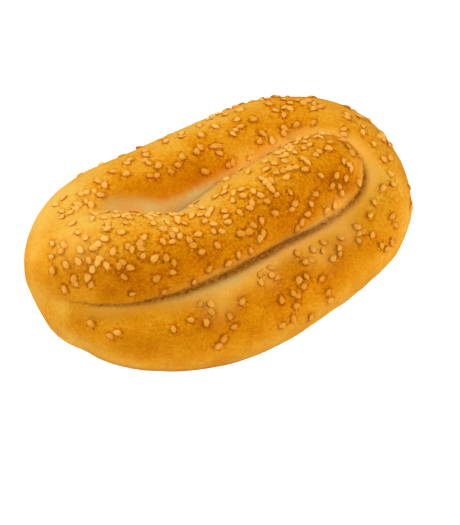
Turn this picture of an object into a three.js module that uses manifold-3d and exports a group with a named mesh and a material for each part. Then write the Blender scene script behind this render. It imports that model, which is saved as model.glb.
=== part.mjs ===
// A horseshoe bread roll with sesame seeds, in millimetres, +Z up.
// One rope of dough is wound into a closed oval: its thick tip lies folded into the middle,
// and its tail is tucked under the left turn, where all of it has baked together.
// The origin is on the table, under the middle of the roll, and +X runs along its length.
import * as THREE from "three";
import { mergeVertices } from "three/addons/utils/BufferGeometryUtils.js";
import Module from "manifold-3d";

// Driving sizes of the roll.
const rollLength = 140;
const rollWidth = 92;
const rollHeight = 43;

// The rope's stations, from the tip to the tail. along and across are shares of half the
// roll's length and width, rise is the middle's share of its height, and wide and tall
// are the rope's half width and half height as shares of half the roll's height.
// seeds says how thickly the rope is strewn there, from 0 to 1.
const stations = [
  { name: "tip", along: 0.52, across: 0.01, rise: 0.6, wide: 0.74, tall: 0.7, seeds: 1 },
  { name: "shoulder", along: 0.1, across: -0.14, rise: 0.61, wide: 0.76, tall: 0.79, seeds: 1 },
  { name: "innerArm", along: -0.3, across: -0.25, rise: 0.58, wide: 0.79, tall: 0.7, seeds: 1 },
  { name: "leftTurnStart", along: -0.63, across: -0.01, rise: 0.53, wide: 0.79, tall: 0.88, seeds: 0.6 },
  { name: "leftTurn", along: -0.75, across: 0.13, rise: 0.5, wide: 0.78, tall: 0.89, seeds: 0.4 },
  { name: "leftTurnEnd", along: -0.56, across: 0.44, rise: 0.46, wide: 0.79, tall: 0.84, seeds: 0.6 },
  { name: "backArm", along: -0.15, across: 0.53, rise: 0.43, wide: 0.81, tall: 0.87, seeds: 1 },
  { name: "rightTurnStart", along: 0.47, across: 0.58, rise: 0.41, wide: 0.84, tall: 0.85, seeds: 0.9 },
  { name: "rightTurn", along: 0.72, across: 0.27, rise: 0.38, wide: 0.87, tall: 0.84, seeds: 0.6 },
  { name: "rightTurnEnd", along: 0.65, across: -0.24, rise: 0.34, wide: 0.83, tall: 0.66, seeds: 0.5 },
  { name: "frontArm", along: 0.29, across: -0.5, rise: 0.32, wide: 0.8, tall: 0.66, seeds: 0.6 },
  { name: "frontBelly", along: -0.2, across: -0.61, rise: 0.31, wide: 0.81, tall: 0.78, seeds: 0.5 },
  { name: "tail", along: -0.56, across: -0.41, rise: 0.32, wide: 0.8, tall: 0.64, seeds: 0.2 },
  { name: "tailTip", along: -0.71, across: -0.1, rise: 0.32, wide: 0.76, tall: 0.58, seeds: 0 },
];
const foldStation = 3.25; // where, counted in stations, the inner arm turns into the ring
const beadCount = 170; // flattened balls that make up the rope
const tuck = 2.5; // how far each ball reaches below the table before the base is cut flat
const seamWidth = 2.4; // how wide the dough has grown together where the arms meet

// The middle of the roll, where the arms have baked together below the fold: an oval cake.
const heelLength = 96;
const heelWidth = 46;
const heelHeight = 17;

const cell = 3.9; // grid on which the crust is found

// Sesame seeds, drawn as small hipped roofs.
const seedCount = 210;
const seedLength = 3.3;
const seedWidth = 2.1;
const seedThickness = 1.1;
const seedSunk = 0.35; // how deep a seed's eaves lie below the crust
const seedFlare = 1.2; // how much wider the eaves are than the seed at the crust
const seedGap = 2.9; // least distance between the middles of two seeds
const seamClear = 3; // seeds stay about this far out of the seams
const openShare = 0.75; // share of that height that is open above a seed
const strewnAngle = 1.5; // seeds lie up to this angle, in radians, from the top of the rope
const steepShare = 0.15; // share of the seeds that also stay on the steep flanks

// Middle and girth of the rope as smooth curves through the stations.
function curveThrough(pointOf) {
  return new THREE.CatmullRomCurve3(stations.map(pointOf), false, "catmullrom", 0.5);
}
const middle = curveThrough(
  (s) => new THREE.Vector3((s.along * rollLength) / 2, (s.across * rollWidth) / 2, s.rise * rollHeight),
);
const girth = curveThrough(
  (s) => new THREE.Vector3((s.wide * rollHeight) / 2, (s.tall * rollHeight) / 2, s.seeds),
);

const foldShare = foldStation / (stations.length - 1);
const beads = [];
for (let i = 0; i < beadCount; i++) {
  const t = i / (beadCount - 1);
  const at = middle.getPoint(t);
  const size = girth.getPoint(t);
  beads.push({ t, at, wide: size.x, tall: size.y, below: at.z + tuck });
}
const innerArm = beads.filter((bead) => bead.t <= foldShare);
const ring = beads.filter((bead) => bead.t >= foldShare);

// Two distances joined, with a soft hollow of that width between them.
function softUnion(a, b, width) {
  const share = Math.max(width - Math.abs(a - b), 0) / width;
  return Math.min(a, b) - (share * share * width) / 4;
}

// About the distance from p to a run of beads, negative inside them.
function beadDistance(p, run) {
  let nearest = Infinity;
  for (const bead of run) {
    const dx = (p.x - bead.at.x) / bead.wide;
    const dy = (p.y - bead.at.y) / bead.wide;
    const dz = (p.z - bead.at.z) / (p.z > bead.at.z ? bead.tall : bead.below);
    nearest = Math.min(nearest, (Math.sqrt(dx * dx + dy * dy + dz * dz) - 1) * bead.wide);
  }
  return nearest;
}

function heelDistance(p) {
  const oval = Math.hypot((2 * p.x) / heelLength, (2 * p.y) / heelWidth);
  return Math.max(((oval - 1) * heelWidth) / 2, p.z - heelHeight, -p.z - tuck);
}

function crustDistance(p) {
  const arms = softUnion(beadDistance(p, innerArm), beadDistance(p, ring), seamWidth);
  return Math.min(arms, heelDistance(p));
}

const axes = [
  [1, 0, 0],
  [0, 1, 0],
  [0, 0, 1],
];
const corners = [
  [0, 0],
  [1, 0],
  [1, 1],
  [0, 1],
];

function forEachCell(from, to, visit) {
  for (let k = from; k < to[2]; k++) {
    for (let j = from; j < to[1]; j++) {
      for (let i = from; i < to[0]; i++) visit(i, j, k);
    }
  }
}

// The closed surface where field is zero: one vertex for each grid cell that it crosses, at
// the middle of its crossings with the cell's edges, and one quad for each crossed edge.
function netOf(field, low, high, step) {
  const count = ["x", "y", "z"].map((axis) => Math.ceil((high[axis] - low[axis]) / step) + 1);
  const index = (i, j, k) => i + count[0] * (j + count[1] * k);
  const value = new Float32Array(count[0] * count[1] * count[2]);
  const corner = new THREE.Vector3();
  forEachCell(0, count, (i, j, k) => {
    corner.set(i, j, k).multiplyScalar(step).add(low);
    value[index(i, j, k)] = field(corner);
  });

  const lastCell = count.map((c) => c - 1);
  const vertexOf = new Map();
  const positions = [];
  forEachCell(0, lastCell, (i, j, k) => {
    const sum = new THREE.Vector3();
    let crossings = 0;
    for (let axis = 0; axis < 3; axis++) {
      for (const [u, v] of corners) {
        const start = [0, 0, 0];
        start[(axis + 1) % 3] = u;
        start[(axis + 2) % 3] = v;
        const end = start.map((s, a) => s + axes[axis][a]);
        const a = value[index(i + start[0], j + start[1], k + start[2])];
        const b = value[index(i + end[0], j + end[1], k + end[2])];
        if (a < 0 === b < 0) continue;
        const share = a / (a - b);
        sum.add(new THREE.Vector3(...start.map((s, c) => s + share * axes[axis][c])));
        crossings++;
      }
    }
    if (crossings === 0) return;
    vertexOf.set(index(i, j, k), positions.length / 3);
    sum.divideScalar(crossings).add(corner.set(i, j, k)).multiplyScalar(step).add(low);
    positions.push(sum.x, sum.y, sum.z);
  });

  const faces = [];
  forEachCell(1, lastCell, (i, j, k) => {
    const inside = value[index(i, j, k)] < 0;
    for (let axis = 0; axis < 3; axis++) {
      const s = axes[axis];
      if (inside === value[index(i + s[0], j + s[1], k + s[2])] < 0) continue;
      const u = axes[(axis + 1) % 3];
      const v = axes[(axis + 2) % 3];
      const around = corners.map(([a, b]) =>
        vertexOf.get(index(i - a * u[0] - b * v[0], j - a * u[1] - b * v[1], k - a * u[2] - b * v[2])),
      );
      if (!inside) around.reverse();
      faces.push(around[0], around[1], around[2], around[0], around[2], around[3]);
    }
  });
  return geometryFrom(new Float32Array(positions), faces);
}

function geometryFrom(positions, faces) {
  const geometry = new THREE.BufferGeometry();
  geometry.setAttribute("position", new THREE.BufferAttribute(positions, 3));
  geometry.setIndex(faces);
  return geometry;
}

function crustGeometry() {
  const margin = 2 * cell;
  const low = new THREE.Vector3(-rollLength / 2 - margin, -rollWidth / 2 - margin, -tuck - margin);
  const high = new THREE.Vector3(rollLength / 2 + margin, rollWidth / 2 + margin, rollHeight + margin);
  return netOf(crustDistance, low, high, cell);
}

// One seed with its point at +X, lying on the plane Z = 0: a ring of six eaves below the
// plane, and a short ridge above it that each eave runs up to.
function seedGeometry() {
  const eaves = [
    [1, 0],
    [0.3, 0.9],
    [-0.65, 0.85],
    [-1, 0],
    [-0.65, -0.85],
    [0.3, -0.9],
  ];
  const ridge = [
    [0.3, 0],
    [-0.35, 0],
  ];
  const ridgeOf = [0, 0, 1, 1, 1, 0];
  const n = eaves.length;
  const positions = [];
  for (const [x, y] of eaves) {
    positions.push((x * seedFlare * seedLength) / 2, (y * seedFlare * seedWidth) / 2, -seedSunk);
  }
  for (const [x, y] of ridge) {
    positions.push((x * seedLength) / 2, (y * seedWidth) / 2, seedThickness - seedSunk);
  }
  const faces = [];
  for (let i = 0; i < n; i++) {
    const next = (i + 1) % n;
    faces.push(i, next, n + ridgeOf[i]);
    if (ridgeOf[i] !== ridgeOf[next]) faces.push(next, n + ridgeOf[next], n + ridgeOf[i]);
    if (i > 0 && i < n - 1) faces.push(0, next, i);
  }
  return geometryFrom(new Float32Array(positions), faces);
}

// A repeatable draw of numbers from 0 to 1.
function dice(start) {
  let state = start;
  return () => {
    state = (Math.imul(state, 1664525) + 1013904223) >>> 0;
    return state / 2 ** 32;
  };
}

// The spot where a ray meets the crust that comes in from outside towards the middle of the
// rope, at a share t along it and at an angle from its top. There is none where the ray
// starts in another arm.
function crustSpot(crust, t, angle) {
  const startRadius = 30;
  const along = middle.getTangent(t).setZ(0).normalize();
  const out = new THREE.Vector3(-along.y, along.x, 0).multiplyScalar(Math.sin(angle));
  out.z = Math.cos(angle);
  const start = middle.getPoint(t).addScaledVector(out, startRadius);
  const [hit] = new THREE.Raycaster(start, out.negate()).intersectObject(crust);
  return hit && { p: hit.point, normal: hit.face.normal };
}

// Whether the air above a spot is open, as it isn't in a seam or a crease.
function isOpen({ p, normal }) {
  return crustDistance(p.clone().addScaledVector(normal, seamClear)) > openShare * seamClear;
}

// Places for the seeds: thick where the stations say so, and thinner down the flanks.
function seedMatrices(crust) {
  const draw = dice(7);
  const up = new THREE.Vector3(0, 0, 1);
  const one = new THREE.Vector3(1, 1, 1);
  const tries = 40000;
  const placed = [];
  for (let i = 0; i < tries && placed.length < seedCount; i++) {
    const t = draw();
    const angle = (draw() * 2 - 1) * strewnAngle;
    const spin = draw() * 2 * Math.PI;
    const chance = girth.getPoint(t).z * (steepShare + (1 - steepShare) * Math.cos(angle));
    if (draw() > chance) continue;
    const spot = crustSpot(crust, t, angle);
    if (!spot || !isOpen(spot)) continue;
    if (placed.some((seed) => seed.p.distanceTo(spot.p) < seedGap)) continue;
    const turn = new THREE.Quaternion().setFromUnitVectors(up, spot.normal);
    turn.multiply(new THREE.Quaternion().setFromAxisAngle(up, spin));
    placed.push({ p: spot.p, matrix: new THREE.Matrix4().compose(spot.p, turn, one) });
  }
  return placed.map((seed) => seed.matrix);
}

const wasm = await Module();
wasm.setup();

function solidOf(geometry) {
  const bare = geometry.clone();
  bare.deleteAttribute("normal");
  bare.deleteAttribute("uv");
  const merged = mergeVertices(bare, 1e-4);
  const mesh = new wasm.Mesh({
    numProp: 3,
    vertProperties: merged.attributes.position.array,
    triVerts: new Uint32Array(merged.index.array),
  });
  return new wasm.Manifold(mesh);
}

// The crust, cut flat where it stands on the table, with the seeds baked into it.
function rollGeometry() {
  const depth = 20;
  const table = new THREE.BoxGeometry(2 * rollLength, 2 * rollWidth, depth);
  table.translate(0, 0, -depth / 2);
  const crust = crustGeometry();
  const seed = seedGeometry();
  const matrices = seedMatrices(new THREE.Mesh(crust));
  const [first, ...others] = matrices.map((matrix) => solidOf(seed.clone().applyMatrix4(matrix)));
  const seeds = others.reduce((sum, next) => sum.add(next), first);
  const mesh = solidOf(crust).subtract(solidOf(table)).add(seeds).getMesh();
  return geometryFrom(mesh.vertProperties, new THREE.BufferAttribute(mesh.triVerts, 1));
}

const crustMaterial = new THREE.MeshStandardMaterial({ color: "#d9861b", roughness: 0.5, metalness: 0 });
const dough = new THREE.Mesh(rollGeometry(), crustMaterial);
dough.name = "roll";

const roll = new THREE.Group();
roll.add(dough);
export default roll;
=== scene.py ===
import math
from types import SimpleNamespace

import bpy
import numpy as np
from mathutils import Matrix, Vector
from mathutils.kdtree import KDTree


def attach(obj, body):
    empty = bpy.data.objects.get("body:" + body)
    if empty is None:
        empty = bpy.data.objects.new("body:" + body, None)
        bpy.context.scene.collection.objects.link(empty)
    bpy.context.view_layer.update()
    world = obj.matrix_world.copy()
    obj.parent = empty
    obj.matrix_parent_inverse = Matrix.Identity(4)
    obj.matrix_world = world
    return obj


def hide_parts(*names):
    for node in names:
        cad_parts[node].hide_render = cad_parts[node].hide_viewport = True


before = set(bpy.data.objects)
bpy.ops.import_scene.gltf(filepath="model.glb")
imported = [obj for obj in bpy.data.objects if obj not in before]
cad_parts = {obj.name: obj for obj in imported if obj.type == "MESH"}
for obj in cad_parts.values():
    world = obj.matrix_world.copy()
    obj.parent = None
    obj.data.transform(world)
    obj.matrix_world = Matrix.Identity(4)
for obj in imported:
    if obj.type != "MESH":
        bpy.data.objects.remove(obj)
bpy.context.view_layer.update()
mm = 0.001

# A baked horseshoe roll: one rope of dough wound into a closed oval, strewn with sesame seeds.
# Lengths in the settings are millimetres, and only finished meshes are turned into metres.
# A share is a place along the rope, from 0 at the tip in the middle to 1 at the tucked tail.
# Where two arms meet, the ring's share is that of the outer one. In tables, what lies between
# two rows is interpolated.

dough = {
    "rope": {
        "length": 140.0,
        "width": 92.0,
        "height": 43.0,
        # name, along, across, rise, half width, half height: shares of half the length, half
        # the width, the height, and half the height twice
        "stations": [
            ("tip", 0.52, 0.01, 0.60, 0.74, 0.70),
            ("shoulder", 0.10, -0.14, 0.61, 0.76, 0.79),
            ("innerArm", -0.30, -0.25, 0.58, 0.79, 0.70),
            ("leftTurnStart", -0.63, -0.01, 0.53, 0.79, 0.88),
            ("leftTurn", -0.75, 0.13, 0.50, 0.78, 0.89),
            ("leftTurnEnd", -0.56, 0.44, 0.46, 0.79, 0.84),
            ("backArm", -0.15, 0.53, 0.43, 0.81, 0.87),
            ("rightTurnStart", 0.47, 0.58, 0.41, 0.84, 0.85),
            ("rightTurn", 0.72, 0.27, 0.38, 0.87, 0.84),
            ("rightTurnEnd", 0.65, -0.24, 0.34, 0.83, 0.66),
            ("frontArm", 0.29, -0.50, 0.32, 0.80, 0.66),
            ("frontBelly", -0.20, -0.61, 0.31, 0.81, 0.78),
            ("tail", -0.56, -0.41, 0.32, 0.80, 0.64),
            ("tailTip", -0.71, -0.10, 0.32, 0.76, 0.58),
        ],
        # the inner arm sags beside its tip and humps up before the left turn: share, and how
        # much the half height grows
        "hump": [
            (0.0, 0.0), (0.05, 0.3), (0.085, -0.3), (0.11, -2.4), (0.15, 0.2), (0.18, 2.7),
            (0.20, 2.6), (0.24, 0.7), (0.29, 0.0),
        ],
        "beads": 170,  # flattened balls that make up the rope
        "tuck": 2.5,  # how far the belly reaches below the table before the sole is flattened
        "apart": 0.15,  # share of the rope between two spots that count as different arms
        "apartFully": 1.6,  # times that, and the seam between them is as deep as it gets
        "heel": (96.0, 46.0, 17.0),  # oval cake of dough under the fold
        "soleRound": 2.5,  # the edge of the sole is rounded over about this much
        "cell": 0.68,
        "smoothing": 2,  # rounds
    },
    "seam": {
        # how deep and how wide the seam is torn open, and how wide the dough has grown
        # together there, by the ring's share: closed and soft in the valley, a crack from the
        # tip round the front, and a fine crease at the tail
        "torn": [
            (0.30, 0.0, 0.8, 2.4),
            (0.50, 0.2, 0.7, 2.4),
            (0.60, 0.3, 0.7, 2.4),
            (0.645, 0.4, 0.7, 2.4),
            (0.66, 1.5, 0.9, 2.4),
            (0.70, 1.6, 1.1, 2.4),
            (0.80, 1.6, 1.3, 2.4),
            (0.86, 1.3, 1.0, 2.4),
            (0.90, 1.0, 0.75, 2.4),
            (0.95, 0.8, 0.65, 3.0),
            (1.0, 0.0, 0.6, 6.5),
        ],
        # how far the line of the seam lies to the inner arm's side of the middle
        "lean": [
            (0.66, 0.0), (0.70, -0.6), (0.73, -1.75), (0.755, -1.4), (0.79, 0.2), (0.87, 1.1),
            (0.90, 0.2), (0.94, -1.6), (0.97, 0.0), (0.98, 1.2), (1.0, 1.5),
        ],
        "leanReach": 7.0,
        # at the left end the crack runs up on to the inner arm and fades out: X and how far
        "stray": [
            (-66.0, -4.6), (-63.3, -3.8), (-61.3, -2.7), (-59.2, -1.85), (-56.8, -1.0),
            (-54.0, 0.0),
        ],
        "fades": (-65.5, -57.0),
        # how the seam looks on the ring's side and on the inner arm's side, by the ring's
        # share: reach in mm and darkness of the torn wall, then strength and reach in mm of
        # the raw dough and of the half-baked dough beside it
        # the torn wall's darkness is partly painted shade in the crack
        "ringSide": [
            (0.30, 0.0, 0.0, 0.30, 5.0, 0.0, 4.0),
            (0.35, 0.0, 0.0, 0.70, 7.0, 0.0, 4.0),
            (0.40, 0.0, 0.0, 0.65, 7.0, 0.2, 9.0),
            (0.43, 0.0, 0.0, 0.80, 8.4, 0.2, 11.0),
            (0.445, 0.0, 0.0, 0.90, 8.2, 0.2, 11.0),
            (0.455, 0.0, 0.0, 1.00, 7.2, 0.2, 9.0),
            (0.467, 0.0, 0.0, 1.00, 6.0, 0.2, 8.0),
            (0.479, 0.0, 0.0, 0.90, 5.0, 0.3, 6.5),
            (0.488, 0.0, 0.0, 0.45, 4.6, 0.5, 6.0),
            (0.50, 0.0, 0.0, 0.25, 4.4, 0.4, 6.0),
            (0.52, 0.0, 0.0, 0.22, 4.4, 0.25, 6.5),
            (0.55, 0.0, 0.0, 0.20, 4.0, 0.25, 6.0),
            (0.60, 0.0, 0.0, 0.10, 3.0, 0.3, 4.0),
            # from here to 0.84 the half-baked dough on the ring's lip is partly painted light
            (0.64, 0.5, 0.2, 0.10, 2.5, 0.6, 6.0),
            (0.66, 2.0, 1.0, 0.00, 2.0, 0.6, 6.0),
            (0.70, 3.0, 1.0, 0.00, 2.0, 0.3, 5.0),
            (0.73, 4.0, 0.7, 0.10, 3.0, 0.5, 7.0),
            (0.76, 4.0, 0.95, 0.35, 5.5, 0.7, 8.5),
            (0.80, 3.2, 0.95, 0.25, 4.5, 0.85, 8.0),
            (0.84, 3.2, 0.95, 0.50, 6.0, 0.95, 9.0),
            (0.88, 2.9, 1.0, 0.30, 4.0, 0.5, 7.0),
            (0.92, 2.0, 0.9, 0.00, 2.0, 0.3, 5.0),
            (0.95, 1.4, 0.75, 0.00, 2.0, 0.5, 4.5),
            (1.00, 1.1, 0.7, 0.00, 4.0, 0.0, 5.0),
        ],
        "innerSide": [
            (0.30, 0.0, 0.0, 0.00, 5.0, 0.0, 5.0),
            (0.42, 0.0, 0.0, 0.40, 14.0, 0.4, 14.0),
            (0.45, 0.0, 0.0, 0.75, 15.0, 0.4, 15.0),
            (0.47, 0.0, 0.0, 0.60, 14.0, 0.4, 14.0),
            (0.50, 0.0, 0.0, 0.30, 12.0, 0.4, 12.0),
            (0.56, 0.0, 0.0, 0.00, 8.0, 0.4, 11.0),
            (0.60, 0.0, 0.0, 0.00, 3.0, 0.0, 5.0),
            (0.65, 0.3, 0.1, 0.00, 2.0, 0.2, 5.0),
            (0.66, 0.9, 0.9, 0.00, 2.0, 0.2, 5.0),
            (0.70, 1.0, 0.9, 0.00, 2.0, 0.3, 6.0),
            (0.73, 1.0, 0.4, 0.60, 2.5, 0.85, 9.0),
            (0.76, 2.2, 0.8, 0.40, 4.0, 0.4, 6.0),
            (0.80, 3.0, 1.0, 0.25, 3.0, 0.1, 5.0),
            (0.84, 3.4, 1.0, 0.10, 2.0, 0.4, 4.5),
            (0.88, 1.8, 0.9, 0.00, 2.0, 0.2, 4.5),
            (0.92, 1.1, 0.8, 0.00, 2.0, 0.0, 3.0),
            (0.96, 0.9, 0.75, 0.00, 2.0, 0.0, 3.0),
            (1.00, 1.1, 0.7, 0.00, 5.0, 0.0, 6.0),
        ],
        # the share of its reach up to which raw and half-baked dough keeps its strength
        "rawHolds": 0.5,
        "halfHolds": 0.3,
        # only the bend of the inner arm in the valley is pale: up to which ring's share that
        # holds, and between which shares of the inner arm the paleness ends
        "bendUpTo": 0.62,
        "bendEnds": (0.2, 0.25),
        # how far seeds keep away from the seam: on the inner arm, in the valley less than the
        # raw dough reaches, and along the crack beyond its torn wall
        "clearInner": 0.8,
        "clearValley": -2.0,
        "clearCrack": 1.5,
        "valleyUpTo": 0.64,
    },
    "relief": {
        # wavelength, height and random start of each kind of unevenness
        "lumps": (22.0, 0.15, 11),
        "dimples": (9.0, 0.07, 12),
        "skin": (2.6, 0.02, 13),
        "torn": (2.4, 0.15, 14),  # the raw dough in the seams
        "above": (0.2, 3.0),  # none at the sole, and all of it above the second height
    },
    # how brown the crust is, from 0 for golden to 1 for deep brown
    "browning": {
        # tilt in degrees from level towards the front, and how brown
        "towards": (0.17, -0.985, 0.0),
        # darker on slopes tilted to the front; the palest, tilted a little back, is partly painted
        # sheen
        "byTilt": [
            (-180.0, 0.35), (-110.0, 0.30), (-60.0, 0.08), (-35.0, -0.03), (0.0, 0.29),
            (25.0, 0.57), (40.0, 0.70), (60.0, 0.66), (80.0, 0.48), (110.0, 0.24), (180.0, 0.22),
        ],
        # the two ends face neither the front nor the top, and are this brown
        "ends": 0.45,
        "endsAt": (0.1, 0.7),
        # share, and how much browner
        # the paler dip about 0.25, on the top of the left turn, is partly painted sheen
        "byShare": [
            (0.0, 0.24), (0.10, -0.05), (0.15, 0.02), (0.21, -0.06), (0.25, -0.15), (0.31, 0.13),
            (0.35, -0.15), (0.41, 0.06), (0.46, 0.2), (0.51, 0.08), (0.56, 0.36), (0.61, -0.04),
            (0.66, -0.15), (0.71, -0.15), (0.76, 0.06), (0.80, 0.12), (0.86, 0.1), (0.91, 0.0),
            (0.96, -0.22), (1.0, -0.3),
        ],
        # the end of the tail and the left turn beside it fade into each other
        "joinShares": (0.92, 0.98),
        "joinReach": 8.0,
        # the sole is scorched, by how far its normal points up and by its height
        "soleNormal": (-0.95, -0.6),
        "soleHeight": (0.2, 1.6),
        # and painted contact shadow on the underside of the front: between which tilts, then X
        # and how much
        "under": (106.0, 140.0),
        "paintedContactShadow": [(-64.0, 0.0), (-44.0, 0.8), (-15.0, 0.9), (8.0, 0.2)],
        # where in mm, how far it reaches and how much browner it is
        "blotches": [
            # painted highlight: the paler spot on the top of the left turn
            (-54.0, -1.0, 41.0, 6.0, -0.25),
            (-47.7, -9.6, 39.4, 6.0, -0.35),
            (-51.0, 11.0, 39.7, 7.0, -0.45),
            (-61.0, -5.0, 34.5, 8.0, -0.1),
            (-69.0, 2.0, 21.5, 6.0, -0.4),
            (-43.0, -17.0, 35.5, 6.0, 0.4),
            (-25.0, -5.0, 41.0, 6.0, -0.3),
            (-11.0, -1.4, 37.0, 5.0, -0.3),
            (-9.4, -19.9, 37.7, 6.0, 0.2),
            (11.0, -18.5, 36.0, 8.0, 0.28),
            (43.5, -7.0, 36.5, 5.0, -0.5),
            (-33.3, -6.6, 43.4, 5.0, 0.25),
            (-51.5, -14.0, 31.0, 5.0, 0.2),
            (-22.0, -21.0, 36.0, 8.0, 0.15),
            (26.0, 3.0, 41.0, 7.0, -0.15),
            (31.0, -18.0, 31.0, 4.5, -0.35),
            (-15.0, 12.5, 32.5, 6.0, -0.15),
            (16.5, 15.0, 31.5, 5.0, -0.7),
            (28.0, 16.0, 32.0, 5.0, -0.6),
            (-49.0, 25.5, 35.5, 6.0, -0.55),
            (-4.0, 32.5, 35.4, 7.0, -0.25),
            (14.0, 34.0, 34.8, 7.0, -0.25),
            (2.0, 27.0, 36.7, 4.0, 0.25),
            (38.6, 22.4, 35.3, 5.0, -0.4),
            (57.0, -12.0, 27.0, 6.0, -0.2),
            (57.6, -22.8, 19.4, 7.0, -0.2),
            (31.0, -24.5, 27.2, 4.5, -0.1),
            (17.5, -37.0, 23.0, 5.0, 0.2),
            (19.0, -29.8, 27.2, 5.0, -0.2),
            (-20.0, -34.0, 28.5, 5.0, -0.1),
            (-37.5, -22.5, 30.5, 5.0, 0.35),
            (-59.0, -18.0, 19.0, 5.0, 0.4),
            (-7.0, -45.0, 11.0, 7.0, -0.2),
            (16.0, -41.0, 12.0, 10.0, -0.25),
            (-45.0, -35.5, 9.5, 4.0, 0.15),
            (-35.5, -38.5, 21.0, 6.0, -0.2),
            (-24.0, -43.5, 9.0, 5.0, 0.25),
            # painted light: a paler spot that lifts the shade at the crack's left end
            (-64.0, -8.5, 22.0, 4.0, -0.5),
            # painted light: a paler spot on the ring's lip right of the tip
            (50.0, -8.0, 30.0, 5.0, -0.3),
        ],
        # where in mm, how far it reaches, how half-baked and how raw it is
        "paleAndLitSpots": [
            # painted highlight on the top of the left turn, in the half-baked tone
            (-54.0, -1.0, 41.0, 6.0, 0.45, 0.0),
            (-35.5, 11.5, 35.2, 4.0, 0.0, 0.5),
            (31.0, -24.5, 27.2, 4.5, 0.4, 0.1),
            (19.0, -29.8, 27.2, 5.0, 0.5, 0.0),
            (-2.2, -30.7, 29.6, 4.5, 0.6, 0.0),
            (-20.0, -34.0, 28.5, 5.0, 0.4, 0.1),
            # painted light on the ring's lip right of the tip, in the half-baked tone
            (50.0, -8.0, 30.0, 5.0, 0.4, 0.0),
        ],
        "besideSeeds": (0.2, 1.5),  # the crust is darker up to this far from a seed
    },
    "crust": {
        # browning from the palest to the darkest: level and colour
        "tones": [
            (-0.3, "#E7B54B"), (0.0, "#E5A93A"), (0.29, "#E09921"), (0.54, "#D88A0B"),
            (0.71, "#D17E04"), (1.0, "#BF6801"), (1.3, "#A75500"),
        ],
        # the half-baked tone also paints light on the ring's lip and in two pale spots
        "halfBakedAndLitTone": "#F4AF43",
        "raw": "#D3B46C",
        # the crack's torn dough, darker towards its middle as painted shade
        "torn": "#8E520A",
        "crumbs": "#AA6D2C",
        # the browned sole, also used for painted contact shadow under the front
        "soleAndShadow": "#6B3D10",
        "paleSole": "#96602A",
        # noises: mm across one feature, detail and roughness
        "mottle": (11.0, 4.0, 0.6),  # blotches of browning
        "speck": (0.35, 3.0, 0.65),  # the grain of the crust
        "crumb": (1.1, 3.0, 0.7),  # crumbs of torn dough, and flecks of the crust
        "pores": (0.6, 3.0, 0.6),  # wrinkles of the skin
        # how far each noise swings about its middle, and how much browner or paler, or for
        # crumbling how much more or less torn, the crust is at the ends of that swing
        "mottling": (0.2, 0.22),
        "graininess": (0.2, 0.26),
        "flecking": (0.15, 0.12),
        "byTheSeeds": (0.12, 0.64),
        "crumbling": (0.15, 0.25),
        "amongSeeds": 1.0,  # how much stronger the flecks are where seeds lie
        "patchiness": 2.0,  # how much the unevenness breaks up the raw and half-baked dough
        "deepFrom": 0.2,  # how torn a crumb is before it starts to darken with the crack's painted shade
        "floury": (0.4, 0.65),  # between which levels of the mottle the sole gets pale
        "roughness": 0.5,
        "rawRoughness": 0.85,
        "ior": 1.45,
        "gloss": 0.06,
        "glossTint": "#FFD870",
        "wrinkling": 0.5,  # strength and depth in mm
        "wrinkleDepth": 0.4,
        "raggedness": 2.0,  # how much deeper the wrinkles are in the crack
    },
}

rope, seam, relief, browning, crust = (
    dough[part] for part in ("rope", "seam", "relief", "browning", "crust"))


def smoothStep(low, high, value):
    share = np.clip((value - low) / (high - low), 0.0, 1.0)
    return share * share * (3.0 - 2.0 * share)


def readTable(rows, value):
    # the columns after the first, each read at the value in the first
    first, *columns = zip(*rows)
    read = [np.interp(value, first, column) for column in columns]
    return read[0] if len(read) == 1 else read


def nearness(points, spot, reach):
    # 1 at the spot and fading to 0 beyond its reach
    return np.exp(-np.square((points - spot) / reach).sum(axis=1))


def waves(points, wavelength, start):
    # a smooth random field of about that wavelength in mm, mostly between -1 and 1
    count = 28
    longest, shortest = 0.7, 1.4  # turns in one wavelength
    draw = np.random.default_rng(start)
    direction = draw.normal(size=(count, 3))
    direction /= np.linalg.norm(direction, axis=1)[:, None]
    stretch = draw.uniform(longest, shortest, count)[:, None]
    phase = draw.uniform(0, 2 * math.pi, count)
    turns = points @ (direction * stretch * 2 * math.pi / wavelength).T + phase
    return np.sin(turns).sum(axis=1) / math.sqrt(count)


def curveThrough(points, shares):
    # a Catmull-Rom curve through the stations, evenly spaced in its share
    points = np.asarray(points, float)
    last = len(points) - 1
    padded = np.vstack([2 * points[0] - points[1], points, 2 * points[-1] - points[-2]])
    at = np.asarray(shares) * last
    start = np.minimum(at.astype(int), last - 1)
    u = (at - start)[:, None]
    p0, p1, p2, p3 = (padded[start + i] for i in range(4))
    slope1 = (p2 - p0) / 2
    slope2 = (p3 - p1) / 2
    cubic = 2 * (p1 - p2) + slope1 + slope2
    square = 3 * (p2 - p1) - 2 * slope1 - slope2
    return p1 + u * (slope1 + u * (square + u * cubic))


def strungBeads():
    # each bead's share, and its X, Y, Z, half width and half height
    shares = np.linspace(0.0, 1.0, rope["beads"])
    table = np.array([row[1:] for row in rope["stations"]])
    length, width, height = rope["length"], rope["width"], rope["height"]
    values = curveThrough(table * [length / 2, width / 2, height, height / 2, height / 2], shares)
    values[:, 4] += readTable(rope["hump"], shares)
    return shares, values


beadShare, beadValues = strungBeads()


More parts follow.
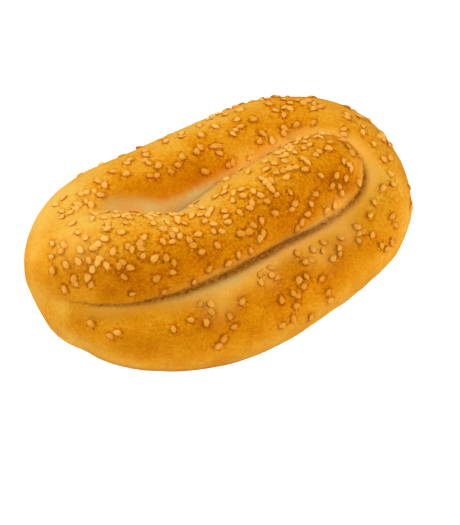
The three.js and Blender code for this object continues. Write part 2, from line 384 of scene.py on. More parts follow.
def armDistances(points):
    # for each point: distance to the nearest arm, the share of the rope there, distance to
    # the next arm that lies apart along the rope, and the share there
    count = len(points)
    nearest = np.empty(count)
    nearestShare = np.empty(count)
    second = np.empty(count)
    secondShare = np.empty(count)
    chunk = 20000
    farAway = 1e3
    middle = beadValues[:, :3].astype(np.float32)
    wide = beadValues[:, 3].astype(np.float32)
    tall = beadValues[:, 4].astype(np.float32)
    below = middle[:, 2] + rope["tuck"]
    for start in range(0, count, chunk):
        part = points[start:start + chunk].astype(np.float32)
        dx = (part[:, None, 0] - middle[:, 0]) / wide
        dy = (part[:, None, 1] - middle[:, 1]) / wide
        dz = part[:, None, 2] - middle[:, 2]
        dz = dz / np.where(dz > 0, tall, below)
        distance = (np.sqrt(dx * dx + dy * dy + dz * dz) - 1.0) * wide
        best = distance.argmin(axis=1)
        rows = np.arange(len(part))
        stop = start + len(part)
        nearest[start:stop] = distance[rows, best]
        nearestShare[start:stop] = beadShare[best]
        near = np.abs(beadShare[None, :] - beadShare[best][:, None]) < rope["apart"]
        distance[near] = farAway
        other = distance.argmin(axis=1)
        second[start:stop] = distance[rows, other]
        secondShare[start:stop] = beadShare[other]
    return nearest, nearestShare, second, secondShare


def leant(first, firstShare, second, secondShare):
    # the distance to the dough with the seam moved to its true line, the gap between the
    # distances to its two arms, and whether the inner arm is the nearer one
    ringShare = np.maximum(firstShare, secondShare)
    apart = smoothStep(rope["apart"], rope["apart"] * rope["apartFully"],
                       np.abs(firstShare - secondShare))
    lean = readTable(seam["lean"], ringShare) / 2
    lean = lean * apart * np.exp(-((second - first) / seam["leanReach"]) ** 2)
    lean = np.where(firstShare < secondShare, lean, -lean)
    one = first + lean
    other = second - lean
    onInner = (firstShare < secondShare) == (one < other)
    return np.minimum(one, other), np.abs(other - one), onInner, ringShare, apart


def crustDistance(points):
    # the arms, blended where they have grown together and torn open along the seam
    body, gap, _, ringShare, apart = leant(*armDistances(points))
    depth, reach, width = readTable(seam["torn"], ringShare)
    share = np.maximum(width - gap, 0.0) / width
    arms = body - apart * share * share * width / 4
    arms = arms + apart * depth * np.exp(-(gap / reach) ** 2)
    heelLength, heelWidth, heelHeight = rope["heel"]
    oval = np.hypot(2 * points[:, 0] / heelLength, 2 * points[:, 1] / heelWidth)
    heel = np.maximum((oval - 1) * heelWidth / 2, points[:, 2] - heelHeight)
    body = np.minimum(arms, heel)
    # the sole: flat, with a rounded edge
    under = -points[:, 2]
    rounding = np.maximum(rope["soleRound"] - np.abs(body - under), 0.0) / rope["soleRound"]
    return np.maximum(body, under) + rounding * rounding * rope["soleRound"] / 4


def surfaceNet(value, low, cell):
    # one vertex in each crossed cell, at the middle of its crossings, one quad per crossed edge
    count = np.array(value.shape)
    inside = value < 0
    total = np.zeros(tuple(count - 1) + (3,), np.float32)
    crossings = np.zeros(tuple(count - 1), np.float32)
    for axis in range(3):
        for u, v in ((0, 0), (1, 0), (1, 1), (0, 1)):
            start = [0, 0, 0]
            start[(axis + 1) % 3] = u
            start[(axis + 2) % 3] = v
            end = list(start)
            end[axis] += 1
            a = value[tuple(slice(s, n - 1 + s) for s, n in zip(start, count))]
            b = value[tuple(slice(s, n - 1 + s) for s, n in zip(end, count))]
            crossed = (a < 0) != (b < 0)
            share = np.where(crossed, a / np.where(crossed, a - b, 1.0), 0.0)
            for k in range(3):
                total[..., k] += np.where(crossed, start[k] + (share if k == axis else 0.0), 0.0)
            crossings += crossed
    hit = crossings > 0
    index = np.full(hit.shape, -1)
    index[hit] = np.arange(hit.sum())
    verts = (np.argwhere(hit) + total[hit] / crossings[hit][:, None]) * cell + low
    quads = []
    for axis in range(3):
        inner = [slice(1, n - 1) for n in count]
        ahead = list(inner)
        ahead[axis] = slice(2, count[axis])
        a = inside[tuple(inner)]
        b = inside[tuple(ahead)]
        where = np.argwhere(a != b) + 1
        solid = a[a != b]
        around = []
        for u, v in ((0, 0), (1, 0), (1, 1), (0, 1)):
            at = where.copy()
            at[:, (axis + 1) % 3] -= u
            at[:, (axis + 2) % 3] -= v
            around.append(index[at[:, 0], at[:, 1], at[:, 2]])
        faces = np.stack(around, axis=1)
        faces[~solid] = faces[~solid][:, ::-1]
        quads.append(faces)
    return verts, np.concatenate(quads)


def gridPoints(low, cell, count):
    axes = [low[k] + np.arange(count[k]) * cell for k in range(3)]
    return np.stack(np.meshgrid(*axes, indexing="ij"), axis=-1).reshape(-1, 3)


def doughNet():
    # the field is found on a coarse grid first, and then finely only near the surface
    times = 4  # fine cells along a coarse one
    margin = 2.5  # coarse cells around the roll
    band = 2.2  # coarse cells to each side of the surface
    cell = rope["cell"]
    coarse = cell * times
    low = np.array([-rope["length"] / 2, -rope["width"] / 2, 0.0]) - margin * coarse
    high = np.array([rope["length"] / 2, rope["width"] / 2, rope["height"]]) + margin * coarse
    coarseCount = np.ceil((high - low) / coarse).astype(int) + 1
    coarseValue = crustDistance(gridPoints(low, coarse, coarseCount)).reshape(coarseCount)
    blocks = coarseCount - 1
    count = blocks * times + 1
    spread = np.arange(count.max()) // times
    base = [np.minimum(spread[:count[k]], blocks[k] - 1) for k in range(3)]
    value = coarseValue[np.ix_(*base)].astype(np.float32)
    near = np.abs(coarseValue) < coarse * band
    nearFine = near[np.ix_(*base)]
    for k in range(3):
        ahead = list(base)
        ahead[k] = base[k] + 1
        nearFine = nearFine | near[np.ix_(*ahead)]
    wanted = np.argwhere(nearFine)
    value[tuple(wanted.T)] = crustDistance(low + wanted * cell)
    return surfaceNet(value, low, cell)


def vertexNormals(verts, quads):
    diagonal1 = verts[quads[:, 2]] - verts[quads[:, 0]]
    diagonal2 = verts[quads[:, 3]] - verts[quads[:, 1]]
    faceNormals = np.cross(diagonal1, diagonal2)
    normals = np.zeros_like(verts)
    for k in range(3):
        for corner in range(4):
            normals[:, k] += np.bincount(quads[:, corner], faceNormals[:, k], len(verts))
    tiny = 1e-12  # keeps the division sound
    return normals / (np.linalg.norm(normals, axis=1)[:, None] + tiny)


def smoothed(verts, quads, rounds):
    # each round moves a vertex half of the way to the middle of its neighbours
    near = np.concatenate([quads, np.roll(quads, -1, axis=1)], axis=0).ravel()
    far = np.concatenate([np.roll(quads, -1, axis=1), quads], axis=0).ravel()
    degree = np.bincount(near, minlength=len(verts))[:, None]
    for _ in range(rounds):
        mean = np.stack([np.bincount(near, verts[far, k], len(verts)) for k in range(3)], axis=1)
        verts = verts + (mean / degree - verts) * 0.5
    return verts


def surveyed(verts, normals):
    # where each vertex lies on the rope, and which way it faces
    distances = armDistances(verts)
    _, gap, onInner, ringShare, apart = leant(*distances)
    facing = normals @ np.array(browning["towards"])
    up = normals[:, 2]
    return SimpleNamespace(
        firstShare=distances[1], secondShare=distances[3], gap=gap, onInner=onInner,
        ringShare=ringShare, apart=apart, facing=facing, up=up, height=verts[:, 2],
        tilt=np.degrees(np.arctan2(facing, up)))


def seamLook(verts, survey):
    # how torn, raw and half-baked the dough is beside the seam, with painted shade in the crack
    # and partly painted light on the ring's lip, and how far seeds keep away
    ringShare, gap = survey.ringShare, survey.gap
    sides = zip(readTable(seam["ringSide"], ringShare), readTable(seam["innerSide"], ringShare))
    wall, dark, raw, rawReach, halfBakedAndLit, halfReach = (
        np.where(survey.onInner, inner, ring) for ring, inner in sides)
    stray = readTable(seam["stray"], verts[:, 0])
    fromCrack = np.abs(np.where(survey.onInner, -gap, gap) - stray)
    tiny = 0.01
    crackAndShade = survey.apart * dark * (1.0 - smoothStep(0.0, 1.0, fromCrack / (wall + tiny)))
    crackAndShade = crackAndShade * smoothStep(*seam["fades"], verts[:, 0])
    raw = survey.apart * raw * (1.0 - smoothStep(seam["rawHolds"], 1.0, gap / rawReach))
    halfBakedAndLit = survey.apart * halfBakedAndLit * (1.0 - smoothStep(seam["halfHolds"], 1.0, gap / halfReach))
    byBend = survey.onInner & (ringShare < seam["bendUpTo"])
    outside = np.where(byBend, smoothStep(*seam["bendEnds"], survey.firstShare), 0.0)
    onRing = np.where(ringShare < seam["valleyUpTo"], rawReach + seam["clearValley"],
                      wall + seam["clearCrack"])
    clear = np.where(survey.onInner, seam["clearInner"], onRing)
    return crackAndShade, raw * (1.0 - outside), halfBakedAndLit * (1.0 - outside), clear


def doughRelief(points, torn, height):
    bumps = 0.0
    for kind in ("lumps", "dimples", "skin", "torn"):
        wavelength, rise, start = relief[kind]
        bump = waves(points, wavelength, start) * rise
        bumps = bumps + (bump * torn if kind == "torn" else bump)
    return bumps * smoothStep(*relief["above"], height)


def bakeLevel(survey):
    # browner on the slopes that tilt towards the front, paler where the crust tilts a little back
    # (partly painted sheen), and differently along the rope
    ends = 1.0 - smoothStep(*browning["endsAt"], np.hypot(survey.facing, survey.up))
    bake = readTable(browning["byTilt"], survey.tilt) * (1.0 - ends) + browning["ends"] * ends
    # by the seam at the end of the tail each arm is half as brown as the other one
    joined = smoothStep(*browning["joinShares"], survey.ringShare) / 2
    joined = joined * (1.0 - smoothStep(0.0, browning["joinReach"], survey.gap))
    for share, weight in ((survey.firstShare, 1.0 - joined), (survey.secondShare, joined)):
        bake = bake + weight * readTable(browning["byShare"], share)
    return bake


def soleAndShadowLevel(verts, survey):
    # the sole, and painted contact shadow along the underside of the front
    flat = 1.0 - smoothStep(*browning["soleNormal"], survey.up)
    low = 1.0 - smoothStep(*browning["soleHeight"], survey.height)
    under = smoothStep(*browning["under"], survey.tilt)
    under = under * readTable(browning["paintedContactShadow"], verts[:, 0])
    return np.maximum(np.maximum(flat, low), under)


def meshFrom(name, verts, faces):
    mesh = bpy.data.meshes.new(name)
    mesh.from_pydata((verts * mm).tolist(), [], [list(face) for face in faces])
    mesh.polygons.foreach_set("use_smooth", [True] * len(faces))
    mesh.update()
    return mesh


def setAttribute(mesh, name, values):
    layer = mesh.attributes.new(name, "FLOAT", "POINT")
    layer.data.foreach_set("value", np.asarray(values, np.float32))


def placed(name, data):
    thing = bpy.data.objects.new(name, data)
    bpy.context.scene.collection.objects.link(thing)
    return thing


def makeDough():
    verts, quads = doughNet()
    verts = smoothed(verts, quads, rope["smoothing"])
    normals = vertexNormals(verts, quads)
    survey = surveyed(verts, normals)
    crackAndShade, raw, halfBakedAndLit, survey.clear = seamLook(verts, survey)
    verts = verts + normals * doughRelief(verts, crackAndShade, survey.height)[:, None]
    bake = bakeLevel(survey)
    for *spot, reach, browner in browning["blotches"]:
        bake = bake + browner * nearness(verts, spot, reach)
    for *spot, reach, halfHere, rawHere in browning["paleAndLitSpots"]:
        halfBakedAndLit = halfBakedAndLit + halfHere * nearness(verts, spot, reach)
        raw = raw + rawHere * nearness(verts, spot, reach)
    mesh = meshFrom("dough", verts, quads)
    looks = {"raw": raw, "halfBakedAndLit": halfBakedAndLit, "crackAndShade": crackAndShade, "bake": bake,
             "soleAndShadow": soleAndShadowLevel(verts, survey), "strewn": seedCover(verts, survey)}
    for name, values in looks.items():
        setAttribute(mesh, name, values)
    print("dough:", len(verts), "vertices,", len(quads), "quads")
    return placed("dough", mesh)


# the colour sockets of a Mix node and the plain number ones of a Random Value node, which
# share their names with others
mixA, mixB, mixOut = 6, 7, 2
randomMin, randomMax, randomOut = 2, 3, 1


def addNode(tree, kind, links=None, **settings):
    # links: for an input's name or number, its value, a socket, or a node for its first output
    node = tree.nodes.new(kind)
    for name, value in settings.items():
        setattr(node, name, value)
    for name, value in (links or {}).items():
        if isinstance(value, bpy.types.Node):
            value = value.outputs[0]
        if isinstance(value, bpy.types.NodeSocket):
            tree.links.new(value, node.inputs[name])
        else:
            node.inputs[name].default_value = value
    return node


def colour(text):
    # an sRGB hex colour as linear RGBA
    parts = [int(text[i:i + 2], 16) / 255 for i in (1, 3, 5)]
    return [c / 12.92 if c <= 0.04045 else ((c + 0.055) / 1.055) ** 2.4 for c in parts] + [1.0]


def crustMaterial():
    # wheat crust with an egg wash: satin, orange brown on its shoulders, golden elsewhere
    material = bpy.data.materials.new("eggWashedCrust")
    material.use_nodes = True
    tree = material.node_tree
    tree.nodes.clear()
    place = addNode(tree, "ShaderNodeTexCoord").outputs["Object"]
    noises = []
    for name in ("mottle", "speck", "crumb", "pores"):
        across, detail, rough = crust[name]
        perMetre = 1000 / across
        noises.append(addNode(tree, "ShaderNodeTexNoise", {
            "Vector": place, "Scale": perMetre, "Detail": detail, "Roughness": rough}))
    mottle, speck, crumb, pores = noises
    bake, seedShadowAndBrowning, strewn, halfBakedAndLit, raw, crackAndShade, soleAndShadow = [
        addNode(tree, "ShaderNodeAttribute", attribute_name=name).outputs["Fac"]
        for name in ("bake", "seedShadowAndBrowning", "strewn", "halfBakedAndLit", "raw", "crackAndShade", "soleAndShadow")]

    # unevenness: slow blotches and fine grain everywhere, flecks mostly among the seeds
    middle = 0.5  # of a noise
    swings = []
    for noise, name in ((mottle, "mottling"), (speck, "graininess"), (crumb, "flecking")):
        swing, amount = crust[name]
        swings.append(addNode(tree, "ShaderNodeMapRange", {
            "Value": noise, "From Min": middle - swing, "From Max": middle + swing,
            "To Min": -amount, "To Max": amount}, clamp=False))
    blotches, grain, flecks = swings
    busy = addNode(tree, "ShaderNodeMath", {
        0: strewn, 1: crust["amongSeeds"], 2: 1.0}, operation="MULTIPLY_ADD")
    uneven = addNode(tree, "ShaderNodeMath", {0: blotches, 1: grain}, operation="ADD")
    uneven = addNode(tree, "ShaderNodeMath", {
        0: flecks, 1: busy, 2: uneven}, operation="MULTIPLY_ADD")

    # browning, darker in patches close to the seeds as painted contact shadow with some browning
    baked = addNode(tree, "ShaderNodeMath", {0: bake, 1: uneven}, operation="ADD")
    swing, amount = crust["byTheSeeds"]
    patches = addNode(tree, "ShaderNodeMapRange", {
        "Value": crumb, "From Min": middle - swing, "From Max": middle + swing, "To Max": amount})
    baked = addNode(tree, "ShaderNodeMath", {
        0: seedShadowAndBrowning, 1: patches, 2: baked}, operation="MULTIPLY_ADD")
    lowest, highest = crust["tones"][0][0], crust["tones"][-1][0]
    level = addNode(tree, "ShaderNodeMapRange", {
        "Value": baked, "From Min": lowest, "From Max": highest})
    tone = addNode(tree, "ShaderNodeValToRGB", {"Fac": level})
    ramp = tone.color_ramp.elements
    for bakedTo, text in crust["tones"][1:-1]:
        ramp.new((bakedTo - lowest) / (highest - lowest)).color = colour(text)
    ramp[0].color = colour(crust["tones"][0][1])
    ramp[-1].color = colour(crust["tones"][-1][1])

    # pale dough beside the seam; the half-baked tone is partly painted light on the ring's lip
    # and in two of the pale spots
    patchy = addNode(tree, "ShaderNodeMath", {
        0: uneven, 1: crust["patchiness"], 2: 1.0}, operation="MULTIPLY_ADD")
    for share, name in ((halfBakedAndLit, "halfBakedAndLitTone"), (raw, "raw")):
        share = addNode(tree, "ShaderNodeMath", {0: share, 1: patchy}, operation="MULTIPLY")
        tone = addNode(tree, "ShaderNodeMix", {
            0: share, mixA: tone, mixB: colour(crust[name])}, data_type="RGBA").outputs[mixOut]

    # crumbs in the crack, darker towards its middle as painted shade; the scorched sole under its
    # flour, and painted contact shadow along the underside of the front
    swing, amount = crust["crumbling"]
    crumbly = addNode(tree, "ShaderNodeMapRange", {
        "Value": crumb, "From Min": middle - swing, "From Max": middle + swing,
        "To Min": 1.0 - amount, "To Max": 1.0 + amount}, clamp=False)
    torn = addNode(tree, "ShaderNodeMath", {0: crackAndShade, 1: crumbly}, operation="MULTIPLY")
    tornAndShaded = addNode(tree, "ShaderNodeMapRange", {"Value": torn, "From Min": crust["deepFrom"]})
    flourFrom, flourTo = crust["floury"]
    floury = addNode(tree, "ShaderNodeMapRange", {
        "Value": mottle, "From Min": flourFrom, "From Max": flourTo})
    for share, between, one, other in ((torn, tornAndShaded, "crumbs", "torn"),
                                       (soleAndShadow, floury, "soleAndShadow", "paleSole")):
        over = addNode(tree, "ShaderNodeMix", {
            0: between, mixA: colour(crust[one]), mixB: colour(crust[other])}, data_type="RGBA")
        tone = addNode(tree, "ShaderNodeMix", {
            0: share, mixA: tone, mixB: over.outputs[mixOut]}, data_type="RGBA").outputs[mixOut]

    # the skin is finely wrinkled, and ragged in the crack
    rough = addNode(tree, "ShaderNodeMapRange", {
        "Value": raw, "To Min": crust["roughness"], "To Max": crust["rawRoughness"]})
    ragged = addNode(tree, "ShaderNodeMath", {
        0: crackAndShade, 1: crust["raggedness"], 2: 1.0}, operation="MULTIPLY_ADD")
    creased = addNode(tree, "ShaderNodeMath", {0: pores, 1: ragged}, operation="MULTIPLY")
    wrinkled = addNode(tree, "ShaderNodeBump", {
        "Strength": crust["wrinkling"], "Distance": crust["wrinkleDepth"] * mm, "Height": creased})
    shader = addNode(tree, "ShaderNodeBsdfPrincipled", {
        "Base Color": tone, "Roughness": rough, "IOR": crust["ior"], "Normal": wrinkled,
        "Specular IOR Level": crust["gloss"], "Specular Tint": colour(crust["glossTint"])})
    addNode(tree, "ShaderNodeOutputMaterial", {"Surface": shader})
    return material


seeds = {
    "length": 3.15,
    "width": 2.3,
    "thickness": 1.35,
    "taper": 0.28,  # how much slimmer a seed gets towards its point
    "rings": 6,  # rings and sides of one seed's mesh
    "sides": 8,
    "shadedRim": (-0.1, 0.8),  # its rim darkens below this share of half the thickness: painted shade, with some toasting
    "lift": 0.05,  # how far the middle of a seed lies above the crust
    "tipped": (0.3, 0.2),  # radians that it may tip along its length and across
    "spacing": 1.6,
    "perSquareMetre": 124000.0,
    "smallest": 0.82,
    "largest": 1.1,
    # random starts of the places, the turns, the sizes and the tones
    "start": 5,
    "turnStart": 1,
    "sizeStart": 2,
    "toneStart": 3,
    # how much their tone differs at random, follows the crust's browning and darkens along the
    # front
    "unlike": 0.5,
    "withCrust": 1.1,
    "alongFront": 0.17,
    "frontAt": (-15.0, -32.0),
    "paler": 0.27,
    # how thickly they lie, by the crust's tilt towards the front and along the rope
    "byTilt": [
        (-180.0, 0.0), (-90.0, 0.1), (-60.0, 0.22), (-30.0, 0.6), (0.0, 1.0), (25.0, 1.0),
        (45.0, 0.62), (70.0, 0.4), (100.0, 0.15), (180.0, 0.0),
    ],
    "byShare": [
        (0.0, 0.95), (0.1, 1.0), (0.2, 0.95), (0.27, 0.65), (0.31, 0.35), (0.36, 0.4),
        (0.42, 0.6), (0.5, 0.7), (0.58, 0.9), (0.66, 0.75), (0.71, 0.72), (0.8, 0.7),
        (0.9, 0.5), (1.0, 0.45),
    ],
    # heaps and bare spots: where in mm, how far they reach and how much thicker
    "heaps": [
        (-27.0, -41.0, 21.0, 6.0, -0.15),
        (-5.0, -30.5, 29.5, 5.0, 0.3),
        (8.0, -29.0, 29.0, 5.0, 0.3),
        (-50.0, 16.0, 38.5, 5.0, 0.3),
        (47.0, 27.0, 34.0, 5.0, 0.3),
        (4.0, 32.0, 36.0, 5.0, 0.3),
        (64.0, 8.0, 29.0, 5.0, 0.4),
        (-66.0, -9.0, 15.0, 6.0, -0.7),
        (24.0, -41.0, 12.0, 7.0, -0.6),
        (-15.0, -41.0, 24.0, 6.0, -0.1),
        (-54.0, -13.0, 31.5, 5.0, -0.4),
        (15.0, -41.0, 19.0, 7.0, 0.25),
        (24.0, -31.0, 27.0, 6.0, 0.4),
        (51.0, -16.0, 27.0, 6.0, 0.3),
        (-58.0, -6.0, 37.0, 7.0, 0.6),
        (-47.0, 6.0, 41.0, 6.0, 0.2),
        (-37.0, 12.5, 36.0, 5.0, -1.0),
        (16.0, -13.0, 41.0, 6.0, 0.4),
        (45.0, -9.0, 33.0, 7.0, -0.6),
        (67.0, 8.0, 22.0, 8.0, -0.5),
        (36.0, 9.0, 38.0, 8.0, 0.5),
        (39.0, -6.0, 39.0, 6.0, 0.3),
        (10.0, -9.0, 43.0, 7.0, 0.3),
        (-30.0, 23.0, 37.0, 7.0, 0.35),
        (-42.0, 19.0, 38.0, 7.0, 0.35),
        (-30.0, -3.0, 42.0, 8.0, 0.4),
        (-69.0, 4.0, 26.5, 10.0, -1.0),
        (-61.0, 17.0, 33.0, 8.0, -0.6),
        (-57.0, -22.0, 19.0, 9.0, -0.2),
        (-45.0, -31.0, 20.0, 9.0, -0.5),
        (-29.0, 12.5, 34.0, 6.0, -0.8),
        (-4.0, 11.0, 29.5, 7.0, -0.8),
        (59.0, 15.0, 32.0, 8.0, -0.5),
        (64.0, -5.0, 26.0, 9.0, -0.6),
        (21.0, 28.5, 36.0, 7.0, -0.5),
        (48.0, 16.0, 35.0, 6.0, -0.8),
        (-15.0, 18.0, 36.0, 6.0, -0.4),
        (-36.0, 30.0, 35.0, 6.0, -0.4),
        (27.0, -35.0, 23.0, 6.0, -0.4),
        (-58.0, 8.0, 40.0, 6.0, -0.3),
        (-62.0, -11.0, 23.0, 5.0, 0.3),
        (-45.0, -19.0, 31.0, 6.0, -0.4),
        (8.0, -18.0, 39.0, 5.0, -0.35),
        (-2.0, 10.0, 28.0, 6.0, -0.35),
        (-8.0, 0.0, 38.0, 5.0, -0.4),
        (47.0, -25.0, 25.0, 6.0, -0.7),
        (7.0, 0.0, 42.0, 5.0, -0.3),
        (30.0, -34.0, 23.0, 6.0, -0.3),
        (30.0, -15.0, 36.0, 6.0, -0.3),
        (-15.0, -24.0, 35.0, 8.0, -0.3),
    ],
    "upright": (0.0, 0.3),  # they lie only where the crust's normal points up at least so far
    "edge": 1.5,  # they thin out over this much beside the seam
    # clusters: mm across one, how much smaller and weaker the small ones are, then how thick
    # the seeds lie between clusters, how much thicker in them, and from where to where
    "cluster": 9.0,
    "smallTimes": 2.3,
    "smallShare": 0.7,
    "between": 0.7,
    "within": 0.6,
    "clusterEdge": (-0.6, 1.2),
    "clusterStarts": (21, 22),
    # colours of the hull
    "light": "#FBBC56",
    # the seed's rim: painted shade towards its underside, with some toasting
    "toasted": "#DE922A",
    "shadedAndBrowned": "#AE600A",
    "roughness": 0.45,
    "ior": 1.47,
    "gloss": 0.15,
    "glossTint": "#FFE080",
}


def seedCover(verts, survey):
    # how thickly seeds lie on the crust, from 0 to 1
    thick = readTable(seeds["byShare"], survey.firstShare)
    thick = thick * readTable(seeds["byTilt"], survey.tilt)
    for *spot, reach, thicker in seeds["heaps"]:
        thick = thick + thicker * nearness(verts, spot, reach)
    beside = 1.0 - smoothStep(survey.clear, survey.clear + seeds["edge"], survey.gap)
    cover = thick * smoothStep(*seeds["upright"], survey.up) * (1.0 - survey.apart * beside)
    largeStart, smallStart = seeds["clusterStarts"]
    large = waves(verts, seeds["cluster"], largeStart)
    small = waves(verts, seeds["cluster"] / seeds["smallTimes"], smallStart)
    clusters = smoothStep(*seeds["clusterEdge"], large + seeds["smallShare"] * small)
    return np.clip(cover * (seeds["between"] + seeds["within"] * clusters), 0.0, 1.0)


def seedMesh():
    # a flattened drop, its point at +X
    verts = []
    rings = seeds["rings"]
    sides = seeds["sides"]
    for ring in range(1, rings):
        along = math.cos(math.pi * ring / rings)
        girth = math.sin(math.pi * ring / rings) * (1.0 - seeds["taper"] * along)
        for side in range(sides):
            turn = 2 * math.pi * side / sides
            verts.append((along * seeds["length"] / 2, girth * math.cos(turn) * seeds["width"] / 2,
                          girth * math.sin(turn) * seeds["thickness"] / 2))
    front = len(verts)
    verts.append((seeds["length"] / 2, 0.0, 0.0))
    verts.append((-seeds["length"] / 2, 0.0, 0.0))
    faces = []
    for side in range(sides):
        after = (side + 1) % sides
        faces.append((front, side, after))
        for ring in range(rings - 2):
            a = ring * sides
            b = a + sides
            faces.append((a + side, b + side, b + after, a + after))
        last = (rings - 2) * sides
        faces.append((last + side, front + 1, last + after))
    mesh = meshFrom("oneSeed", np.array(verts), faces)
    rise = np.array(verts)[:, 2] / (seeds["thickness"] / 2)
    setAttribute(mesh, "shadedRim", 1.0 - smoothStep(*seeds["shadedRim"], rise))
    return mesh


def strewTree(material):
    # seeds strewn over the crust and lying along its slope, turned and sized at random
    tree = bpy.data.node_groups.new("strewSeeds", "GeometryNodeTree")
    sockets = {}
    for name, kind in (("Crust", "NodeSocketGeometry"), ("Seed", "NodeSocketObject"),
                       ("Spacing", "NodeSocketFloat"), ("Density", "NodeSocketFloat"),
                       ("Smallest", "NodeSocketFloat"), ("Largest", "NodeSocketFloat"),
                       ("Lift", "NodeSocketFloat"), ("Start", "NodeSocketInt")):
        sockets[name] = tree.interface.new_socket(name, in_out="INPUT", socket_type=kind)
    tree.interface.new_socket("Seeds", in_out="OUTPUT", socket_type="NodeSocketGeometry")
    source = addNode(tree, "NodeGroupInput").outputs
    strewn = addNode(tree, "GeometryNodeInputNamedAttribute", {"Name": "strewn"})
    points = addNode(tree, "GeometryNodeDistributePointsOnFaces", {
        "Mesh": source["Crust"], "Distance Min": source["Spacing"], "Seed": source["Start"],
        "Density Max": source["Density"], "Density Factor": strewn}, distribute_method="POISSON")
    along, across = seeds["tipped"]
    spin = addNode(tree, "FunctionNodeRandomValue", {
        "Min": (-along, -across, 0.0), "Max": (along, across, 2 * math.pi),
        "Seed": seeds["turnStart"]}, data_type="FLOAT_VECTOR")
    turn = addNode(tree, "FunctionNodeEulerToRotation", {"Euler": spin})
    turned = addNode(tree, "FunctionNodeRotateRotation", {
        "Rotation": points.outputs["Rotation"], "Rotate By": turn}, rotation_space="LOCAL")
    size = addNode(tree, "FunctionNodeRandomValue", {
        randomMin: source["Smallest"], randomMax: source["Largest"],
        "Seed": seeds["sizeStart"]}, data_type="FLOAT")
    lift = addNode(tree, "ShaderNodeVectorMath", {
        0: points.outputs["Normal"], "Scale": source["Lift"]}, operation="SCALE")
    lifted = addNode(tree, "GeometryNodeSetPosition", {"Geometry": points, "Offset": lift})
    shape = addNode(tree, "GeometryNodeObjectInfo", {"Object": source["Seed"]})
    copies = addNode(tree, "GeometryNodeInstanceOnPoints", {
        "Points": lifted, "Instance": shape.outputs["Geometry"], "Rotation": turned,
        "Scale": size.outputs[randomOut]})
    tone = addNode(tree, "FunctionNodeRandomValue", {
        "Seed": seeds["toneStart"]}, data_type="FLOAT")
    toned = addNode(tree, "GeometryNodeStoreNamedAttribute", {
        "Geometry": copies, "Name": "tone", "Value": tone.outputs[randomOut],
    }, data_type="FLOAT", domain="INSTANCE")
    real = addNode(tree, "GeometryNodeRealizeInstances", {"Geometry": toned})
    done = addNode(tree, "GeometryNodeSetMaterial", {"Geometry": real, "Material": material})
    addNode(tree, "NodeGroupOutput", {0: done})
    return tree, sockets


def toneSeeds(mesh):
    # seeds darken with the browning of the crust they lie on, and more along the front
    count = len(mesh.vertices)
    places = np.empty(count * 3, np.float32)
    mesh.vertices.foreach_get("co", places)
    tone, bake = np.empty(count, np.float32), np.empty(count, np.float32)
    mesh.attributes["tone"].data.foreach_get("value", tone)
    mesh.attributes["bake"].data.foreach_get("value", bake)
    front = smoothStep(*seeds["frontAt"], places[1::3] / mm)
    tone = tone * seeds["unlike"] + bake * seeds["withCrust"] + front * seeds["alongFront"]
    tone = np.clip(tone - seeds["paler"], 0.0, 1.0).astype(np.float32)
    mesh.attributes["tone"].data.foreach_set("value", tone)


def makeSeeds(doughPiece, material):
    oneSeed = placed("oneSeed", seedMesh())
    host = placed("seedHost", doughPiece.data)
    tree, sockets = strewTree(material)
    strew = host.modifiers.new("strewSeeds", "NODES")
    strew.node_group = tree
    values = {"Seed": oneSeed, "Spacing": seeds["spacing"] * mm, "Lift": seeds["lift"] * mm,
              "Density": seeds["perSquareMetre"], "Smallest": seeds["smallest"],
              "Largest": seeds["largest"], "Start": seeds["start"]}
    for name, value in values.items():
        strew[sockets[name].identifier] = value
    graph = bpy.context.evaluated_depsgraph_get()
    mesh = bpy.data.meshes.new_from_object(host.evaluated_get(graph))
    mesh.name = "sesameSeeds"
    perSeed = len(oneSeed.data.vertices)
    bpy.data.objects.remove(host)
    bpy.data.objects.remove(oneSeed)
    toneSeeds(mesh)
    print("sesame:", len(mesh.vertices) // perSeed, "seeds")
    return placed("sesameSeeds", mesh)


def sesameMaterial():
    # hulled sesame, lightly toasted: smooth and a little waxy, darker towards its underside as
    # painted shade, with some toasting where it meets the crust
    material = bpy.data.materials.new("toastedSesame")
    material.use_nodes = True
    tree = material.node_tree
    tree.nodes.clear()
    hull = colour(seeds["light"])
    for name, text in (("tone", "toasted"), ("shadedRim", "shadedAndBrowned")):
        share = addNode(tree, "ShaderNodeAttribute", attribute_name=name).outputs["Fac"]
        hull = addNode(tree, "ShaderNodeMix", {
            0: share, mixA: hull, mixB: colour(seeds[text])}, data_type="RGBA").outputs[mixOut]
    shader = addNode(tree, "ShaderNodeBsdfPrincipled", {
        "Base Color": hull, "Roughness": seeds["roughness"], "IOR": seeds["ior"],
        "Specular IOR Level": seeds["gloss"], "Specular Tint": colour(seeds["glossTint"])})
    addNode(tree, "ShaderNodeOutputMaterial", {"Surface": shader})
    return material


def pressIn(doughPiece, seedPiece):
    # the crust is darker close to each seed: painted contact shadow, with some browning
    tree = KDTree(len(seedPiece.data.vertices))
    for index, vertex in enumerate(seedPiece.data.vertices):
        tree.insert(vertex.co, index)
    tree.balance()
    away = np.array([tree.find(vertex.co)[2] / mm for vertex in doughPiece.data.vertices])
    seedShadowAndBrowning = 1.0 - smoothStep(*browning["besideSeeds"], away)
    setAttribute(doughPiece.data, "seedShadowAndBrowning", seedShadowAndBrowning)
    print("crust:", int((seedShadowAndBrowning > 0).sum()), "vertices browned beside the seeds")


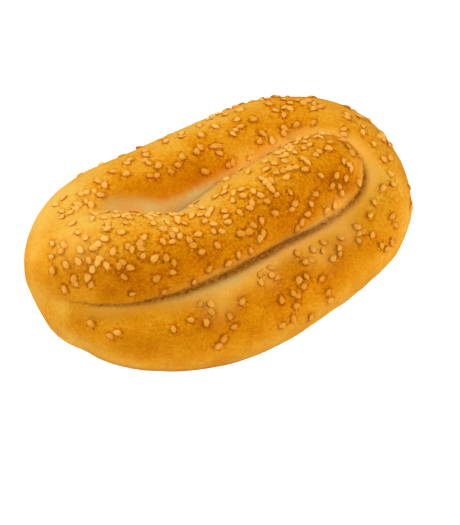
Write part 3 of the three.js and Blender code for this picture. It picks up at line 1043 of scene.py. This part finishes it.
def aim(thing, turn, rise, distance, target=(0.0, 0.0, 0.0)):
    # it stands that far from the target, turned from +X and raised in degrees, and faces it
    turn = math.radians(turn)
    rise = math.radians(rise)
    level = math.cos(rise)
    away = Vector((math.cos(turn) * level, math.sin(turn) * level, math.sin(rise)))
    thing.location = (Vector(target) + away * distance) * mm
    thing.rotation_mode = "QUATERNION"
    thing.rotation_quaternion = (-away).to_track_quat("-Z", "Y")


# The camera stands where the photograph's did: in front, turned to the roll's left end.
camera = {
    "turn": 242.7,  # from +X, which is 27.3 degrees to the left of straight in front
    "elevation": 48.0,
    "distance": 700.0,
    "target": (-3.8, -0.36, 20.3),
    "targetPixel": (215.1, 231.6),
    "pixelsPerMm": 2.979,
    "frame": (460.0, 525.0),
    "sensor": 36.0,
}


def makeCamera():
    data = bpy.data.cameras.new("camera")
    width, height = camera["frame"]
    data.sensor_width = camera["sensor"]
    data.lens = camera["pixelsPerMm"] * camera["distance"] * camera["sensor"] / height
    data.shift_x = (width / 2 - camera["targetPixel"][0]) / height
    data.shift_y = (camera["targetPixel"][1] - height / 2) / height
    thing = placed("camera", data)
    aim(thing, camera["turn"], camera["elevation"], camera["distance"], camera["target"])
    bpy.context.scene.camera = thing


studio = {
    "floor": "#B3B3B3",
    "floorGlow": 1.0,  # a light table: it glows white, so no dark shadow lies on it
    "floorRoughness": 0.9,
    "floorSize": 20000.0,
    "floorBelow": 0.05,
    # name, turn and rise in degrees, distance, width, light on the roll, and whether it is
    # seen in gloss
    "lamps": [
        ("overhead", 272.0, 60.0, 1000.0, 350.0, 2.05, False),
        ("backLeft", 124.0, 32.0, 1000.0, 200.0, 2.35, True),
        ("left", 190.0, 5.0, 1000.0, 400.0, 0.6, False),
        ("right", 345.0, 30.0, 1000.0, 500.0, 1.4, False),
    ],
}


def makeStudio():
    white = (1.0, 1.0, 1.0, 1.0)
    side = studio["floorSize"] / 2 * mm
    corners = [(-side, -side, 0), (side, -side, 0), (side, side, 0), (-side, side, 0)]
    mesh = bpy.data.meshes.new("floor")
    mesh.from_pydata(corners, [], [(0, 1, 2, 3)])
    floor = placed("floor", mesh)
    floor.location.z = -studio["floorBelow"] * mm
    floor.visible_glossy = False
    material = bpy.data.materials.new("lightTable")
    material.use_nodes = True
    glass = material.node_tree.nodes["Principled BSDF"].inputs
    glass["Base Color"].default_value = colour(studio["floor"])
    glass["Roughness"].default_value = studio["floorRoughness"]
    glass["Emission Color"].default_value = white
    glass["Emission Strength"].default_value = studio["floorGlow"]
    mesh.materials.append(material)
    for name, turn, rise, distance, width, strength, inGloss in studio["lamps"]:
        data = bpy.data.lights.new(name, "AREA")
        data.shape = "DISK"
        data.size = width * mm
        data.energy = strength * math.pi * (distance * mm) ** 2
        lamp = placed(name, data)
        lamp.visible_glossy = inGloss
        aim(lamp, turn, rise, distance)
    # the backdrop is white to the eye and gives no light of its own
    world = bpy.data.worlds.new("backdrop")
    world.use_nodes = True
    world.node_tree.nodes["Background"].inputs["Color"].default_value = white
    world.cycles_visibility.diffuse = False
    world.cycles_visibility.glossy = False
    bpy.context.scene.world = world
    bpy.context.scene.view_settings.view_transform = "Standard"
    print("studio:", len(studio["lamps"]), "lamps over a light table")


makeCamera()
makeStudio()
doughPiece = makeDough()
seedPiece = makeSeeds(doughPiece, sesameMaterial())
pressIn(doughPiece, seedPiece)
doughPiece.data.materials.append(crustMaterial())

for piece, slot in ((doughPiece, "crust"), (seedPiece, "sesame")):
    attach(piece, "root")
    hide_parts("roll")
